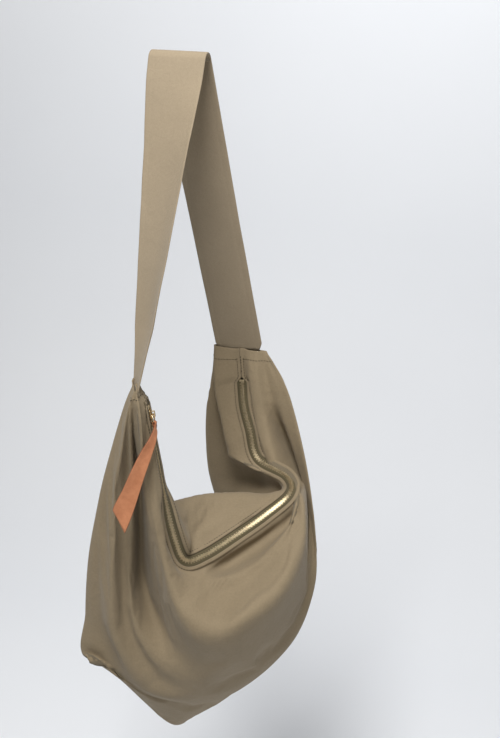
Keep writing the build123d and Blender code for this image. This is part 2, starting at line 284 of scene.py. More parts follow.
# Linear colours of each material: its light and its dark patches, or a metal's shine and wear.
# The shell cloth is the strap's fabric painted about a fifth darker, as painted shade on the bag's
# body; its light and dark patches still vary at random.
SHADED_KHAKI_LIGHT = (0.315, 0.250, 0.162)
SHADED_KHAKI_DARK = (0.250, 0.196, 0.124)
shaded_shell_cloth = cloth_material("shaded_shell_cloth", SHADED_KHAKI_LIGHT, SHADED_KHAKI_DARK, 0.0006)
strap_cloth = cloth_material("strap_cloth", (0.40, 0.325, 0.228), (0.335, 0.27, 0.186), 0.0006, 0.6)
lining_cloth = cloth_material("lining_cloth", (0.22, 0.18, 0.12), (0.17, 0.14, 0.095), 0.0004)
tape_cloth = cloth_material(
    "tape_cloth", (0.135, 0.112, 0.062), (0.09, 0.073, 0.04), 0.0007, 0.2, True
)
thread = cloth_material("thread", (0.09, 0.069, 0.042), (0.064, 0.049, 0.03), 0.0003, 0.2)
brass = metal_material("brass", (0.80, 0.68, 0.46), (0.52, 0.42, 0.26), 0.46)
gold = metal_material("gold", (0.93, 0.74, 0.46), (0.70, 0.53, 0.31), 0.2)
leather = leather_material("leather", (0.52, 0.22, 0.108), (0.36, 0.138, 0.063), 0.55)
leather_edge = leather_material("leather_edge", (0.27, 0.09, 0.04), (0.17, 0.055, 0.025), 0.65)


# ---- Character lines of the hanging cloth ----
# Each line runs the length of the bag, from the near strap seam (station 0) down the zipper's
# straight stretch, round the bag and up to the far strap seam (station 15). Millimetres.
ZIP_START = np.array([17.0, -149.0, -404.0])
TRAVEL = unit(np.array([0.181, 0.022, -0.983]))
NEAR_OUT = np.array([0.964258, 0.192698, 0.181862])


def on_travel(along):
    """Point of the zipper's straight stretch, this far from its start."""
    return tuple(ZIP_START + TRAVEL * along)


def turned_out(degrees):
    """Out direction of the straight stretch, turned towards the front panel."""
    angle = math.radians(degrees)
    return tuple(NEAR_OUT * math.cos(angle) + np.cross(TRAVEL, NEAR_OUT) * math.sin(angle))


ZIPPER = [
    (0, 2.5, -149.9, -377), (0.8, *on_travel(-5)), (1, *on_travel(0)), (1.5, *on_travel(48)),
    (2, *on_travel(90)), (3, *on_travel(138)), (4, 53, -144, -588), (5, 66, -136, -627),
    (6, 86, -108, -631), (7, 120, -60, -617), (8, 148, -28, -600), (9, 174, 4, -578),
    (10, 160, 44, -572), (11, 106, 78, -568), (12, 87, 94, -530), (13, 73, 106, -498),
    (14, 65, 117, -462), (15, 57, 124, -412),
]
OUT = [
    (0, *NEAR_OUT), (1.5, *NEAR_OUT), (2, *turned_out(2)), (2.55, *turned_out(4)),
    (2.9, *turned_out(22)), (3.2, *turned_out(38)), (4, *turned_out(58)),
    (5, 0.45, -0.68, 0.55), (6, 0.25, -0.72, 0.62), (7, 0.15, -0.74, 0.66), (8, 0.1, -0.72, 0.68),
    (9, -0.1, -0.65, 0.75), (10, -0.3, -0.6, 0.7), (11, -0.05, -0.8, 0.55), (12, 0, -0.95, 0.25),
    (13, 0, -0.98, 0.1), (15, 0, -1, 0),
]
SHELF = [
    (0, 7.8, -160.7, -377), (1, 20, -170, -408), (2, 34, -166, -496), (3, 42, -165, -548),
    (4, 53, -164, -600), (5, 72, -158, -640), (6, 100, -150, -648), (7, 135, -132, -650),
    (8, 165, -100, -634), (9, 190, -50, -600), (10, 172, 30, -578), (11, 130, 66, -575),
    (12, 106, 84, -540), (13, 90, 98, -500), (14, 78, 108, -455), (15, 70, 122, -412),
]
RIDGE = [
    (0, 11.5, -170.1, -377), (1, 22, -182, -410), (2, 29, -177, -498), (3, 39, -176, -552),
    (4, 48, -179, -605), (5, 69, -188, -650), (6, 96, -197, -670), (7, 134, -202, -676),
    (8, 170, -184, -662), (9, 208, -118, -638), (9.5, 213, -60, -610), (10, 197, -8, -580),
    (11, 155, 50, -585), (12, 128, 76, -550), (13, 108, 94, -505), (14, 92, 104, -455),
    (15, 84, 122, -412),
]
VALLEY = [
    (0, 11.2, -172.9, -378), (1, 4, -176, -410), (2, 4, -140, -510), (3, 2, -128, -592),
    (4, 3, -124, -668), (5, 28, -136, -730), (6, 68, -160, -756), (7, 120, -176, -754),
    (8, 168, -156, -728), (9, 212, -60, -694), (9.5, 206, 4, -664), (10, 196, 44, -624),
    (11, 179, 76, -597), (12, 154, 96, -562), (13, 124, 106, -508), (14, 104, 114, -455),
    (15, 94, 124, -412),
]
BELLY = [
    (0, 8.3, -170.5, -379), (1, -2, -180, -412), (2, -15, -180, -500), (3, -22, -181, -590),
    (4, -25, -182, -660), (5, -19, -180, -748), (6, 24, -160, -832), (7, 84, -144, -846),
    (8, 153, -106, -828), (9, 205, -46, -786), (10, 221, 0, -724), (11, 213, 30, -664),
    (12, 193, 58, -592), (13, 167, 84, -522), (14, 136, 108, -456), (15, 99, 127, -412),
]
SEAM = [
    (0, -1.3, -151.8, -379), (1, -12, -155, -405), (2, -38, -160, -500), (3, -52, -161, -565),
    (4, -66, -159, -640), (5, -75, -154, -731), (6, -78, -150, -812), (6.2, -70, -140, -824),
    (6.4, -40, -120, -862), (6.6, -14, -104, -902), (7, 18, -84, -952), (8, 54, -45, -968),
    (9, 90, -5, -950), (10, 124, 38, -920), (10.5, 148, 66, -894), (11, 174, 108, -826),
    (12, 167, 147, -716), (13, 141, 158, -610), (14, 95, 152, -505), (15, 57, 133, -412),
]
CREST = [
    (0, -6.9, -131.1, -378), (1, 10, -128, -408), (2, 22, -118, -500), (3, 26, -105, -552),
    (4, 24, -90, -570), (5, 30, -62, -575), (6, 50, -30, -577), (7, 82, 0, -583),
    (8, 112, 25, -591), (9, 142, 42, -603), (10, 148, 56, -594), (10.35, 128, 60, -583),
    (10.7, 101, 68, -578), (11, 74, 76, -576),
    (12, 55, 84, -560), (13, 40, 94, -520), (14, 24, 105, -470), (15, 16, 124, -412),
]
BACK = [
    (0, -10.1, -128.7, -379), (1, 4, -120, -410), (2, 0, -105, -505), (3, -6, -90, -570),
    (4, -12, -70, -610), (5, -6, -25, -625), (6, 20, 10, -630), (7, 60, 55, -650),
    (8, 80, 95, -670), (9, 70, 128, -690), (10, 30, 142, -690), (11, 10, 140, -640),
    (12, 4, 137, -580), (13, 5, 132, -525), (14, 12, 131, -465), (15, 16, 127, -412),
]
LOW_BACK = [
    (0, -10.1, -132.7, -380), (1, -4, -132, -410), (2, -25, -130, -505), (3, -40, -125, -575),
    (4, -52, -115, -650), (5, -60, -95, -740), (6, -60, -60, -820), (7, 10, 30, -880),
    (8, 60, 90, -880), (9, 95, 140, -870), (10, 110, 165, -840), (11, 120, 178, -770),
    (12, 110, 182, -690), (13, 85, 175, -610), (14, 50, 160, -510), (15, 25, 133, -412),
]
LAST_STATION = 15.0
COLUMNS = 150  # along the bag
ROWS = 44  # from the zipper to the outer seam, on each side
LIP = 7.6  # half the slot between the folded edges
LIP_OPENS = (20, 32)  # where the slot opens, from the near strap seam
LIP_CLOSES = (44, 53)  # where it closes, from the far strap seam
LIP_CLOSED = 0.05  # share of the slot that is left when closed
LIFT = 1.5  # height of the folded edge's middle above the tape
FLAT_WIDTH = 6  # flat strip of cloth beside the folded edge
ZIPPER_SHARE = 0.55  # how much the columns are spaced along the zipper rather than the seam
KNOT_POWER = 0.75  # spacing of a rib's knots, between even (0) and by distance (1)
RIB_SAMPLES = 241


def line(points, at):
    """A character line, evaluated at stations."""
    table = np.array(points, float)
    return spline(table[:, 0], table[:, 1:], at)


def zipper_frames(stations):
    """Middle of the zipper with its heading, its side and the direction out of the bag."""
    middle = line(ZIPPER, stations)
    ahead = line(ZIPPER, np.clip(stations + 0.02, 0, LAST_STATION))
    behind = line(ZIPPER, np.clip(stations - 0.02, 0, LAST_STATION))
    heading = unit(ahead - behind)
    out = line(OUT, stations)
    out = unit(out - heading * np.sum(out * heading, axis=1, keepdims=True))
    return middle, heading, np.cross(heading, out), out


every_station = np.linspace(0, LAST_STATION, 3001)
zip_run = run_length(line(ZIPPER, every_station))
seam_run = run_length(line(SEAM, every_station))
even = zip_run / zip_run[-1] * ZIPPER_SHARE + seam_run / seam_run[-1] * (1 - ZIPPER_SHARE)
column_station = np.interp(np.linspace(0, 1, COLUMNS), even, every_station)
column_along = np.interp(column_station, every_station, zip_run)


def station_at(along):
    """Station at a distance along the zipper, from the near strap seam."""
    return np.interp(along, zip_run, every_station)


def lip_half_width(along):
    """Half the slot between the panels: it closes towards both strap seams."""
    near_start, near_end = LIP_OPENS
    far_end, far_start = LIP_CLOSES
    near = np.clip((along - near_start) / (near_end - near_start), LIP_CLOSED, 1)
    far = np.clip((zip_run[-1] - far_end - along) / (far_start - far_end), LIP_CLOSED, 1)
    return (LIP * (near * far))[:, None]


def rib_rows(lines):
    """Rows of points evenly spread along the rib through one point of each line."""
    lines = np.stack(lines)
    rows = np.zeros((ROWS + 1, COLUMNS, 3))
    for j in range(COLUMNS):
        spans = np.linalg.norm(np.diff(lines[:, j], axis=0), axis=1)
        knots = np.r_[0, np.cumsum(spans**KNOT_POWER)]
        rib = spline(knots, lines[:, j], np.linspace(0, knots[-1], RIB_SAMPLES))
        length = run_length(rib)
        even_length = np.linspace(0, length[-1], ROWS + 1)
        for axis in range(3):
            rows[:, j, axis] = np.interp(even_length, length, rib[:, axis])
    return rows


NEAR_FACE = unit(np.array([0.25, -0.95, 0.1]))  # where the cloth faces below the near strap seam
FAR_FACE = np.array([0.1, -1, 0.15])  # where the outer fold at the far end faces
CORNER_RISE = np.array([-6, -24, 36])  # the boxed corner's upper edge, off the seam
TUCK = np.array([-8, 26, 4])  # how far the valley tucks in behind the outer fold
OVERHANG = np.array([10, 26, -8])  # how far the rear fold leans over what lies under it
CRESCENT = ((0.2, -17), (0.42, -22), (0.62, -10), (0.78, 6))  # share of the way, rise
PLEATS = ((0.42, 7, 13), (0.66, -4, 8))  # share of the way, rise at the near end, at the far end
HOLLOW_DEPTH = 7  # of the long hollow beside the near end's outer seam


def gate(rise, full, fade, end):
    """Column weights that grow to one between two stations and fade between two others."""
    share = np.clip(np.minimum((column_station - rise) / (full - rise),
                               (end - column_station) / (end - fade)), 0, 1)
    return (share * share * (3 - 2 * share))[:, None]


def between(start, end, share):
    """Points part of the way between two lines."""
    return start * (1 - share) + end * share


def shaped_shell():
    """Grid of the whole shell: front edge of the mouth, front, seam, rear, rear edge."""
    middle, _, side, out = zipper_frames(column_station)
    lip = lip_half_width(column_along)
    edges = [middle + sign * side * lip + out * LIFT for sign in (1, -1)]
    flats = [middle + sign * side * (lip + FLAT_WIDTH) + out * LIFT * 0.7 for sign in (1, -1)]
    shelf, ridge, valley, belly, seam = [
        line(points, column_station) for points in (SHELF, RIDGE, VALLEY, BELLY, SEAM)
    ]
    crest, back, low_back = [line(points, column_station) for points in (CREST, BACK, LOW_BACK)]
    valley = valley + TUCK * gate(9.3, 10.1, 12, 13.5)
    under_zipper = out * gate(5.8, 6.8, 8.6, 9.5)
    near_folds = NEAR_FACE * gate(0.5, 2.0, 5.0, 7.0)
    outer_fold = FAR_FACE * gate(9.3, 10.0, 12, 13.5)
    crescent = [between(flats[0], shelf, share) + under_zipper * rise for share, rise in CRESCENT]
    pleats = [between(valley, belly, share) + near_folds * near_rise + outer_fold * far_rise
              for share, near_rise, far_rise in PLEATS]
    hollow = between(belly, seam, 0.45) - NEAR_FACE * gate(1.5, 3.2, 5.2, 6.0) * HOLLOW_DEPTH
    corner = between(belly, seam, 0.8) + CORNER_RISE * gate(5.7, 6.1, 6.5, 7.0)
    under_crest = between(crest, back, 0.22) + OVERHANG * gate(9.8, 10.6, 13.6, 14.8)
    front = rib_rows(
        [edges[0], flats[0], *crescent, shelf, ridge, valley, *pleats, belly, hollow, corner, seam]
    )
    rear = rib_rows([edges[1], flats[1], crest, under_crest, back, low_back, seam])
    return np.concatenate([front, rear[::-1][1:]]) * MM


# ---- Drape ----
DRAPE_FRAMES = 24
SLACK = 1.015  # the cloth is cut this much larger than the shape it is held near
HOLD = 0.1  # how firmly the cloth is held near its shape
FAR_FIRMNESS = 2.0  # how much firmer the far fold is held
SEAM_HOLD = 0.4  # the bulky seam keeps its line better
SEAM_ROWS = ((0, 1), (1, 0.8), (2, 0.6), (3, 0.4))  # rows from the seam, share of its hold


def drape(grid):
    """Let the shell hang from its zipper and strap seams, and return the settled grid."""
    rows, columns = grid.shape[:2]
    obj = add_object("drape", grid, grid_faces(rows, columns), [])
    obj.shape_key_add(name="Basis")
    cut = obj.shape_key_add(name="cut")
    cut.data.foreach_set("co", (grid * SLACK).reshape(-1).astype(np.float32))
    cut.value = 0
    held = obj.vertex_groups.new(name="held")
    firm = 1 + FAR_FIRMNESS * gate(8.8, 9.8, 14, 15)[:, 0]
    for j in range(columns):
        held.add([i * columns + j for i in range(rows)], float(HOLD * firm[j]), "REPLACE")
    for distance, share in SEAM_ROWS:
        for i in {rows // 2 - distance, rows // 2 + distance}:
            held.add([i * columns + j for j in range(columns)], SEAM_HOLD * share, "REPLACE")
    fixed = [i * columns + j for i in (0, rows - 1) for j in range(columns)]
    fixed += [i * columns + j for i in range(rows) for j in (0, columns - 1)]
    held.add(fixed, 1.0, "REPLACE")
    cloth = modifier(obj, "CLOTH")
    settings = cloth.settings
    settings.quality = 5
    settings.mass = 0.03
    settings.air_damping = 2
    settings.tension_stiffness = settings.compression_stiffness = 40
    settings.shear_stiffness = 15
    settings.bending_stiffness = 0.08
    settings.vertex_group_mass = "held"
    settings.rest_shape_key = cut
    cloth.collision_settings.use_collision = False
    cloth.collision_settings.use_self_collision = False
    cloth.point_cache.frame_start = 1
    cloth.point_cache.frame_end = DRAPE_FRAMES + 1
    for frame_number in range(1, DRAPE_FRAMES + 2):
        bpy.context.scene.frame_set(frame_number)
    settled = obj.evaluated_get(bpy.context.evaluated_depsgraph_get()).data
    points = np.zeros(rows * columns * 3)
    settled.vertices.foreach_get("co", points)
    bpy.data.objects.remove(obj)
    bpy.context.scene.frame_set(1)
    return points.reshape(rows, columns, 3)


shell = shaped_shell()
shell = drape(shell)


# ---- Panels ----
FINE_COLUMNS = 2 * COLUMNS - 1
PANEL_THICKNESS = 1.2 * MM
LINING_THICKNESS = 0.4 * MM
LINING_GAP = 2.6 * MM  # from the panel's surface to the lining
SEAM_SINK = 1.1 * MM  # how far the panels' edges sink into the outer seam
SEAM_ROUNDING = np.array([0.0, 0.15, 0.6, 1.0])


def finer(grid, row_places, column_places):
    """A grid resampled smoothly at fractional rows and columns."""
    rows = spline(np.arange(grid.shape[0]), grid, row_places)
    across = spline(np.arange(grid.shape[1]), rows.swapaxes(0, 1), column_places)
    return across.swapaxes(0, 1)


def grid_normals(grid):
    """Unit normals of a grid, out of the bag."""
    down = np.gradient(grid, axis=0)
    across = np.gradient(grid, axis=1)
    normal = np.cross(down, across)
    return normal / np.maximum(np.linalg.norm(normal, axis=2, keepdims=True), 1e-12)


column_places = np.linspace(0, COLUMNS - 1, FINE_COLUMNS)
fine_station = np.interp(column_places, np.arange(COLUMNS), column_station)
fine_along = np.interp(fine_station, every_station, zip_run)
# rows close up where the panel rounds into the outer seam
row_places = np.r_[np.arange(0, ROWS - 1, 0.5), ROWS - 1, ROWS - 0.6, ROWS - 0.25, ROWS]
front_grid = finer(shell, row_places, column_places)
rear_grid = finer(shell[::-1], row_places, column_places)
from_middle = front_grid - shell.mean(axis=(0, 1))
outward = np.sign(np.sum(grid_normals(front_grid) * from_middle))


TURNED_UNDER = ((5.0, -1.3), (2.5, -1.35), (0.7, -1.2), (0.05, -0.5))  # past the fold, height
TURN_LIMIT = 1.7  # where the slot is narrow, the turned edge reaches this share of it


def turned_edge(sign):
    """Rows of cloth folded under beside the zipper, from the hidden edge to the fold."""
    middle, _, side, out = zipper_frames(fine_station)
    lip = lip_half_width(fine_along)
    rows = []
    for across, height in TURNED_UNDER:
        reach = np.minimum(lip + across, lip * TURN_LIMIT)
        rows.append((middle + sign * side * reach + out * (LIFT + height)) * MM)
    return np.stack(rows)


def panel(name, grid, sign):
    """One shell panel: turned edge, rounded seam and the thickness of the cloth."""
    grid = grid.copy()
    sink = SEAM_ROUNDING[:, None, None] * SEAM_SINK
    normals = grid_normals(grid)
    facing = outward * sign
    grid[-4:] -= normals[-4:] * facing * sink
    grid = np.concatenate([turned_edge(sign), grid])
    faces = grid_faces(*grid.shape[:2])
    if facing > 0:
        faces = [face[::-1] for face in faces]
    # the panels take the shell cloth, painted darker than the strap as painted shade
    obj = add_object(name, grid, faces, [shaded_shell_cloth])
    metric_uv(obj, grid)
    modifier(obj, "SOLIDIFY", thickness=PANEL_THICKNESS, offset=-1, use_rim=True)
    return obj


panel_front = panel("panel_front_cloth", front_grid, 1)
panel_rear = panel("panel_rear_cloth", rear_grid, -1)


def lining(name, grid, sign):
    """Lining that follows its panel on the inside."""
    facing = outward * sign
    inner = grid[2:, 3:-3] - grid_normals(grid)[2:, 3:-3] * facing * LINING_GAP
    inner = inner[::2, ::2]  # the lining needs only half the points
    obj = add_object(name, inner, grid_faces(*inner.shape[:2]), [lining_cloth])
    metric_uv(obj, inner)
    modifier(obj, "SOLIDIFY", thickness=LINING_THICKNESS, offset=0)
    return obj


lining_front = lining("lining_front_cloth", front_grid, 1)
lining_rear = lining("lining_rear_cloth", rear_grid, -1)


# ---- Stitching ----
STITCH_LENGTH = 3.0
STITCH_GAP = 1.3
THREAD_RADIUS = 0.5
THREAD_FLATNESS = 0.8
RING_POINTS = 6  # round the thread
STITCH_RINGS = ((0, 0.6, -0.5), (0.18, 1, 0.35), (0.5, 1, 0.6), (0.82, 1, 0.35), (1, 0.6, -0.5))
TOPSTITCH_INSET = 4.6  # from the folded edge
TOPSTITCH_ENDS = (12, 8)  # how far it stops short of the near and the far strap seam
SLOT_STITCH_INSET = 0.6  # beside the closed slot above the zipper's far end
SLOT_STITCH_ENDS = (38, 7)  # where it starts and stops, from the far strap seam
END_STITCHES = (("near", 4, 4, 72), ("far", -8, 4, 84))  # name, column, first and last row


def stitch_row(name, points, normals):
    """Short thread dashes along a line of surface points, in metres."""
    run = run_length(points) / MM
    pitch = STITCH_LENGTH + STITCH_GAP
    vertices, faces = [], []
    turns = np.arange(RING_POINTS) * 2 * math.pi / RING_POINTS
    ring = [(math.cos(turn), math.sin(turn)) for turn in turns]
    shares, thick, lift = np.array(STITCH_RINGS).T
    thick, lift = thick * THREAD_RADIUS, lift * THREAD_RADIUS
    for number in range(int(run[-1] / pitch)):
        at = number * pitch + STITCH_LENGTH * shares
        place = np.stack([np.interp(at, run, points[:, k]) for k in range(3)], 1)
        normal = unit(np.stack([np.interp(at, run, normals[:, k]) for k in range(3)], 1))
        heading = unit(place[-1:] - place[:1])
        side = np.cross(heading, normal)
        base = len(vertices)
        for k in range(len(shares)):
            for c, s in ring:
                height = s * thick[k] * THREAD_FLATNESS + lift[k]
                offset = side[k] * c * thick[k] + normal[k] * height
                vertices.append(place[k] + offset * MM)
        faces += tube_faces(base, len(shares), RING_POINTS)
    obj = add_object(name, vertices, faces, [thread])
    uv = obj.data.uv_layers.new(name="cloth")
    uv.data.foreach_set("uv", np.zeros(2 * len(obj.data.loops)))
    return obj


def beside_edge(grid, sign, distance, along_from, along_to):
    """Points and normals on a panel at a distance from its folded edge."""
    down = np.zeros(grid.shape[:2])
    down[1:] = np.cumsum(np.linalg.norm(np.diff(grid, axis=0), axis=2), axis=0) / MM
    facing = outward * sign
    normals = grid_normals(grid) * facing
    points, outs = [], []
    for j in range(grid.shape[1]):
        if along_from <= fine_along[j] <= along_to:
            points.append([np.interp(distance, down[:, j], grid[:, j, k]) for k in range(3)])
            outs.append([np.interp(distance, down[:, j], normals[:, j, k]) for k in range(3)])
    return np.array(points), unit(np.array(outs))


SIDES = (("front", front_grid, 1), ("rear", rear_grid, -1))
stitches = []
near_gap, far_gap = TOPSTITCH_ENDS
for row_name, grid, sign in SIDES:
    points, normals = beside_edge(grid, sign, TOPSTITCH_INSET, near_gap, zip_run[-1] - far_gap)
    stitches.append(stitch_row(f"topstitch_{row_name}", points, normals))
slot_from, slot_to = [zip_run[-1] - gap for gap in SLOT_STITCH_ENDS]
points, normals = beside_edge(front_grid, 1, SLOT_STITCH_INSET, slot_from, slot_to)
stitches.append(stitch_row("end_stitch_middle", points, normals))
for row_name, grid, sign in SIDES:
    facing = outward * sign
    for end_name, column, first, last in END_STITCHES:
        points = grid[first:last, column]
        normals = grid_normals(grid)[first:last, column] * facing
        stitches.append(stitch_row(f"{end_name}_end_stitch_{row_name}", points, normals))


# ---- Zipper ----
def along_frames(start, end, step):
    """Middle of the zipper in metres, its side and its out direction, at even distances."""
    count = int(round((end - start) / step)) + 1
    middle, _, side, out = zipper_frames(station_at(np.linspace(start, end, count)))
    return middle * MM, side, out


TAPE_BEGIN, TAPE_END = 23.0, zip_run[-1] - 30  # distances from the near strap seam
CHAIN_BEGIN, CHAIN_END = 32.0, zip_run[-1] - 52
TAPE_STEP = 3.0
TAPE_INNER, TAPE_OUTER = 1.6, 12.0
TAPE_THICK = 0.55
TAPE_RIB = 4.4  # where a woven rib runs along the tape, beside the teeth
RIB_HEIGHT = 1.9
TOOTH_PITCH = 4.2

tapes = []
for row_name, sign in (("front", 1), ("rear", -1)):
    middle, side, out = along_frames(TAPE_BEGIN, TAPE_END, TAPE_STEP)
    half = TAPE_THICK / 2
    profile = np.array([
        (TAPE_INNER, -half), (TAPE_OUTER, -half), (TAPE_OUTER, half), (TAPE_RIB + 0.5, half),
        (TAPE_RIB, RIB_HEIGHT * half), (TAPE_RIB - 0.7, RIB_HEIGHT * half),
        (TAPE_RIB - 1.2, half), (TAPE_INNER, half),
    ]) * MM
    tape = sweep(f"zipper_tape_{row_name}_cloth", middle, side * sign, out, profile, [tape_cloth])
    tapes.append(tape)

TOOTH = [  # (side, along) outline of one tooth, mm
    (3.3, -0.66), (1.6, -0.7), (0.6, -0.55), (-0.3, -0.75), (-1.6, -0.62), (-2.1, 0),
    (-1.6, 0.62), (-0.3, 0.75), (0.6, 0.55), (1.6, 0.7), (3.3, 0.66), (3.6, 0),
]
TOOTH_CENTRE = (1.2, 0)  # the tooth's outline shrinks towards this point
TOOTH_LEVELS = [(-1.2, 0.86), (-1.0, 1.0), (1.0, 1.0), (1.3, 0.84)]  # height, scale


def tooth_row(name, sign, first):
    """Every tooth of one side of the chain."""
    vertices, faces = [], []
    outline = np.array(TOOTH)
    size = len(outline)
    centre = np.array(TOOTH_CENTRE)
    along = np.arange(first, CHAIN_END, TOOTH_PITCH)
    middle, heading, side, out = zipper_frames(station_at(along))
    for k in range(len(along)):
        base = len(vertices)
        for height, scale in TOOTH_LEVELS:
            for across, ahead in (outline - centre) * scale + centre:
                place = middle[k] + side[k] * sign * across + heading[k] * ahead
                vertices.append((place + out[k] * height) * MM)
        tooth_faces = tube_faces(base, len(TOOTH_LEVELS), size)
        faces += tooth_faces if sign > 0 else [face[::-1] for face in tooth_faces]
    return add_object(name, vertices, faces, [brass], smooth=False)


chain_front = tooth_row("zipper_teeth_front_brass", 1, CHAIN_BEGIN)
chain_rear = tooth_row("zipper_teeth_rear_brass", -1, CHAIN_BEGIN + TOOTH_PITCH / 2)


STOP_LENGTH = 3.2
STOP_SECTION = [  # (side, out) outline of the bottom stop
    (-3.4, -1.5), (3.4, -1.5), (3.9, -0.8), (3.9, 0.8), (3.4, 1.5), (-3.4, 1.5),
    (-3.9, 0.8), (-3.9, -0.8),
]


def crimped_stop():
    """Flat crimped bar across both rows of teeth."""
    middle, side, out = along_frames(CHAIN_END, CHAIN_END + STOP_LENGTH, STOP_LENGTH)
    section = np.array(STOP_SECTION) * MM
    bar = sweep("bottom_stop_brass", middle, side, out, section, [brass], smooth=False)
    modifier(bar, "BEVEL", width=0.35 * MM, segments=3)
    return bar


bottom_stop = crimped_stop()

# ---- Shoulder strap ----
RAIL_RADIUS = 11.0
STRAP_WIDTH = 75.0
STRAP_THICK = 2.0
STRAP_RADIUS = RAIL_RADIUS + STRAP_THICK / 2 + 0.15
NEAR_TAIL = np.array([1.6, -150.8, -393.0])
FAR_TAIL = np.array([57.0, 128.0, -418.0])
# (share of the leg below the rail, value): degrees of turn, width, lengthwise curl
NEAR_TURN = [(0, 0), (0.06, 2), (0.25, 22), (0.5, 37), (0.75, 50), (0.9, 58), (1, 64)]
NEAR_WIDTH = [(0, STRAP_WIDTH), (0.8, 70), (0.955, 49), (1, 42)]
NEAR_CURL = [(0, 0), (0.2, 4), (0.8, 8), (0.95, 1), (1, 0.5)]
FAR_TURN = [(0, 0), (0.5, 4), (1, 0)]
FAR_WIDTH = [(0, STRAP_WIDTH), (0.97, 74), (1, 60)]
FAR_CURL = [(0, 0), (0.4, 3), (0.9, 1.5), (1, 0)]
LEG_STEPS = 60
RAIL_STEPS = 24


def leg_tangent(tail, sign):
    """Where a leg leaves the round top of the rail."""
    reach = math.hypot(tail[1], tail[2])
    lean = math.atan2(abs(tail[1]), -tail[2]) - math.asin(STRAP_RADIUS / reach)
    return np.array([0, sign * STRAP_RADIUS * math.cos(lean), STRAP_RADIUS * math.sin(lean)]), lean


near_top, near_lean = leg_tangent(NEAR_TAIL, -1)
far_top, far_lean = leg_tangent(FAR_TAIL, 1)


def leg_rows(top, tail, turn, width, curl):
    """Centres, turns, widths and curls down one leg, from the rail to its sewn tail."""
    share = np.linspace(0, 1, LEG_STEPS)[1:]
    centres = top * (1 - share[:, None]) + tail * share[:, None]
    return [centres, *[np.interp(share, *zip(*table)) for table in (turn, width, curl)]]


def strap_path():
    """Centre line, turn, width and lengthwise curl from the near to the far end."""
    near = leg_rows(near_top, NEAR_TAIL, NEAR_TURN, NEAR_WIDTH, NEAR_CURL)
    far = leg_rows(far_top, FAR_TAIL, FAR_TURN, FAR_WIDTH, FAR_CURL)
    angle = np.linspace(math.pi - near_lean, far_lean, RAIL_STEPS)
    flat = np.zeros(RAIL_STEPS)
    over = [
        np.stack([flat, STRAP_RADIUS * np.cos(angle), STRAP_RADIUS * np.sin(angle)], axis=1),
        flat, flat + STRAP_WIDTH, flat,
    ]
    return [np.concatenate([a[::-1], b, c]) for a, b, c in zip(near, over, far)]


# Half of the strap's section: place across, depth of the pressed seam, share of the thickness
HALF_SECTION = [
    (0, 0, 1), (0.2, 0, 1), (0.4, 0, 1), (0.6, 0, 1), (0.74, 0.1, 1), (0.77, 0.5, 1),
    (0.8, 0.1, 1), (0.94, 0, 1), (0.985, 0, 0.75), (1, 0, 0.2),
]
LEFT_HALF = [(-across, depth, share) for across, depth, share in HALF_SECTION[:0:-1]]
ACROSS, PRESSED, ROUND = np.array(LEFT_HALF + HALF_SECTION).T
PRESSED_ABOVE, PRESSED_BELOW = 0.55, 0.3  # how deep the pressed seams show on each face
RIPPLE = 0.5  # height of the strap's slow waves
RIPPLE_LENGTH, RIPPLE_SEED = 55, 3
RIPPLE_ACROSS, RIPPLE_ALONG = 2.2, 60  # phase to the strap's edge, length along it for one more


def shoulder_strap():
    """Double strap with pressed seams near both edges, turned and gathered at the near end."""
    centres, turns, widths, curls = strap_path()
    heading = unit(np.gradient(centres, axis=0))
    angle = np.radians(turns)
    across = np.stack([np.cos(angle), -np.sin(angle), np.zeros(len(angle))], axis=1)
    across = unit(across - heading * np.sum(across * heading, axis=1, keepdims=True))
    out = np.cross(heading, across)
    run = run_length(centres)
    loops = []
    for k in range(len(centres)):
        half = widths[k] / 2
        bow = curls[k] * (1 - ACROSS**2)
        height = RIPPLE * smooth_noise(np.array([run[k]]), RIPPLE_LENGTH, RIPPLE_SEED)[0]
        ripple = height * np.sin(ACROSS * RIPPLE_ACROSS + run[k] / RIPPLE_ALONG)
        surface = bow + ripple * min(1, abs(curls[k]))
        above = surface + ROUND * STRAP_THICK / 2 - PRESSED * PRESSED_ABOVE
        below = surface - ROUND * STRAP_THICK / 2 + PRESSED * PRESSED_BELOW
        upper = np.stack([ACROSS * half, above], 1)
        lower = np.stack([ACROSS * half, below], 1)
        loops.append(np.concatenate([upper, lower[::-1]]))
    profiles = np.array(loops) * MM
    return sweep("shoulder_strap_cloth", centres * MM, across, out, profiles, [strap_cloth])


strap = shoulder_strap()

# ---- Leather pull ----
LEATHER_THICK = 2.0
RING_BOTTOM = np.array([25.925, -147.557, -426.734])
NEAR_SIDE = np.cross(TRAVEL, NEAR_OUT)
LOOP_DROP, STRIP_DROP, BINDING_DROP = 1.2, 3.0, 5.4  # of each one's middle or root, off the ring
STRIP_ROOT_WIDTH = 5.5
STRIP = [  # middle, width, direction that the face looks in
    ((31, -156, -431.5), 8.5, NEAR_OUT + NEAR_SIDE * 0.2),
    ((32, -167, -440), 11.5, NEAR_OUT + NEAR_SIDE * 0.8),
    ((28, -180, -456), 15.5, NEAR_OUT * 0.5 + NEAR_SIDE),
    ((21, -190, -480), 18.5, NEAR_OUT * 0.2 + NEAR_SIDE),
    ((12, -199, -512), 23, NEAR_SIDE),
]
STRIP_END = np.array([2.5, -207, -542])
STRIP_END_EDGE = unit(np.array([0.56, -0.16, -0.81]))  # direction of the slanted cut
STRIP_END_WIDTH = 33.0
STRIP_SECTION = [  # place across, share of the thickness
    (-1, 0.3), (-0.97, 0.8), (-0.9, 1), (-0.6, 1), (-0.2, 1),
    (0.2, 1), (0.6, 1), (0.9, 1), (0.97, 0.8), (1, 0.3),
]
CUP = 0.9  # how far the strip curls across its width
CUP_RAMP = 40  # the curl grows over this much of its length
SLANT_START = 0.93  # the edge starts to slant here, as a share of the way to the last middle


